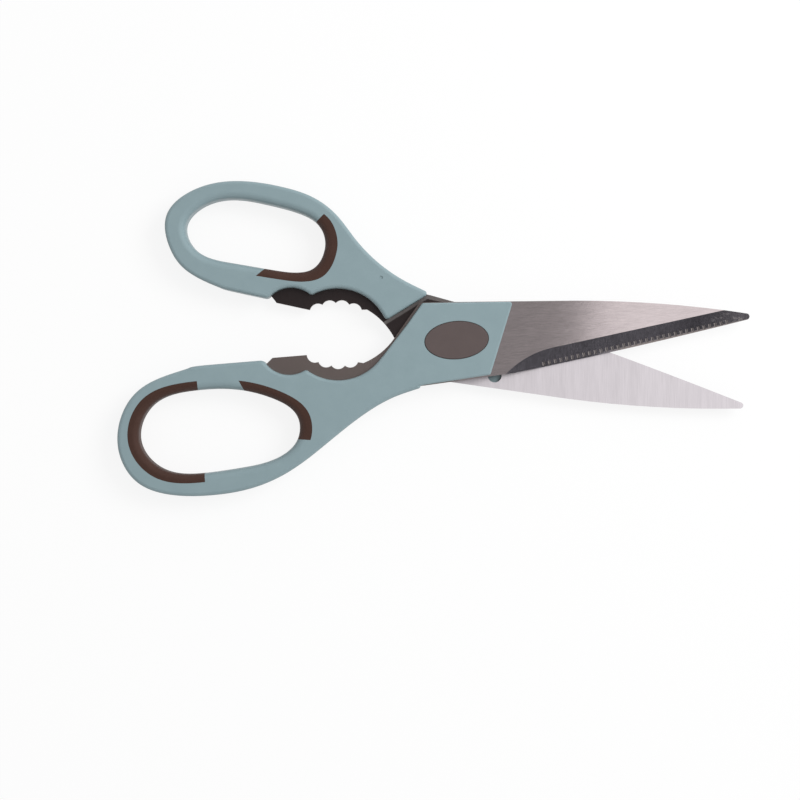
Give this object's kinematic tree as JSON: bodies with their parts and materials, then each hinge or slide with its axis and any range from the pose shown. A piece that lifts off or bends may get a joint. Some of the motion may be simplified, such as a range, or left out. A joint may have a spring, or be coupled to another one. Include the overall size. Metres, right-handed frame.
{
  "type": "kitchen shears",
  "caption": "Kitchen shears with stamped steel blades, a serrated bevelled edge, a toothed nut gripper behind the pivot, and overmoulded plastic bow handles with soft grip pads.",
  "frame": {"origin": "on the pivot's axis, level with the flat outer face of the back cap and cover plate that the shears rest on", "axes": "+X midway between the two blades towards their tips, +Y in the plane of the blades towards the side of the front blade's tip and the thumb bow, +Z along the pivot's axis, up from the resting face"},
  "size_m": [0.2141, 0.1091, 0.0108],
  "materials": {
    "blade_steel": "brushed",
    "handle_plastic": "satin",
    "cap_plastic": "satin",
    "grip_rubber": "matte",
    "pivot_steel": "turned"
  },
  "bodies": {
    "back_lever": {"back_blade": "blade_steel", "back_handle": "handle_plastic", "back_cap": "cap_plastic", "thumb_grip": "grip_rubber", "pivot_bolt": "pivot_steel", "pivot_nut": "pivot_steel", "spring_washer": "pivot_steel"},
    "front_lever": {"front_blade": "blade_steel", "front_handle": "handle_plastic", "front_cap": "cap_plastic", "finger_grip_front": "grip_rubber", "finger_grip_rear": "grip_rubber"}
  },
  "joints": [
    {"name": "blade_pivot", "type": "hinge", "parent": "back_lever", "child": "front_lever", "pos_m": [0, 0, 0.0054], "axis": [0, 0, 1], "range_deg": [-16.8, 67.2]}
  ]
}
